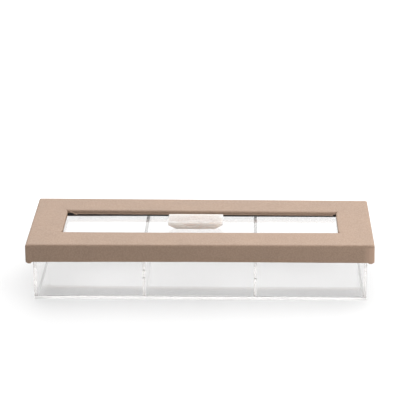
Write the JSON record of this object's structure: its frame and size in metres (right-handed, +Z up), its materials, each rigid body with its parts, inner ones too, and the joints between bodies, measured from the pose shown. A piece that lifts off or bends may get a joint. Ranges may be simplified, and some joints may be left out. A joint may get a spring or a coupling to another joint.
{
  "type": "watch box",
  "caption": "Long clear box with full-height inner dividers and a lift-off lid: a leather-covered border round a see-through window with a stone bar handle.",
  "frame": {"origin": "centre of the underside of the tray, on the surface the box stands on", "axes": "+X along the length of the box, +Y from the front to the back, +Z up"},
  "size_m": [0.343, 0.1306, 0.065],
  "materials": {
    "acrylic": "clear polished sheet with flame-polished edges",
    "leather": "taupe, fine pebble grain, satin",
    "board": "fibreboard painted matt black",
    "lining": "black short-nap suede cloth",
    "stone": "cream white with pale pink veins, polished"
  },
  "bodies": {
    "tray": {"base_panel": "acrylic", "front_wall": "acrylic", "back_wall": "acrylic", "left_end_wall": "acrylic", "right_end_wall": "acrylic", "left_divider": "acrylic", "right_divider": "acrylic"},
    "lid": {"top_board_front": "board", "top_board_back": "board", "top_board_left": "board", "top_board_right": "board", "skirt_board_front": "board", "skirt_board_back": "board", "skirt_board_left": "board", "skirt_board_right": "board", "skirt_lining_front": "lining", "skirt_lining_back": "lining", "skirt_lining_left": "lining", "skirt_lining_right": "lining", "leather_cover": "leather", "window_pane": "acrylic", "handle": "stone"}
  },
  "joints": [
    {"name": "lid_lift", "type": "slide", "parent": "tray", "child": "lid", "axis": [0, 0, 1], "range_m": [0, 0.08]}
  ]
}
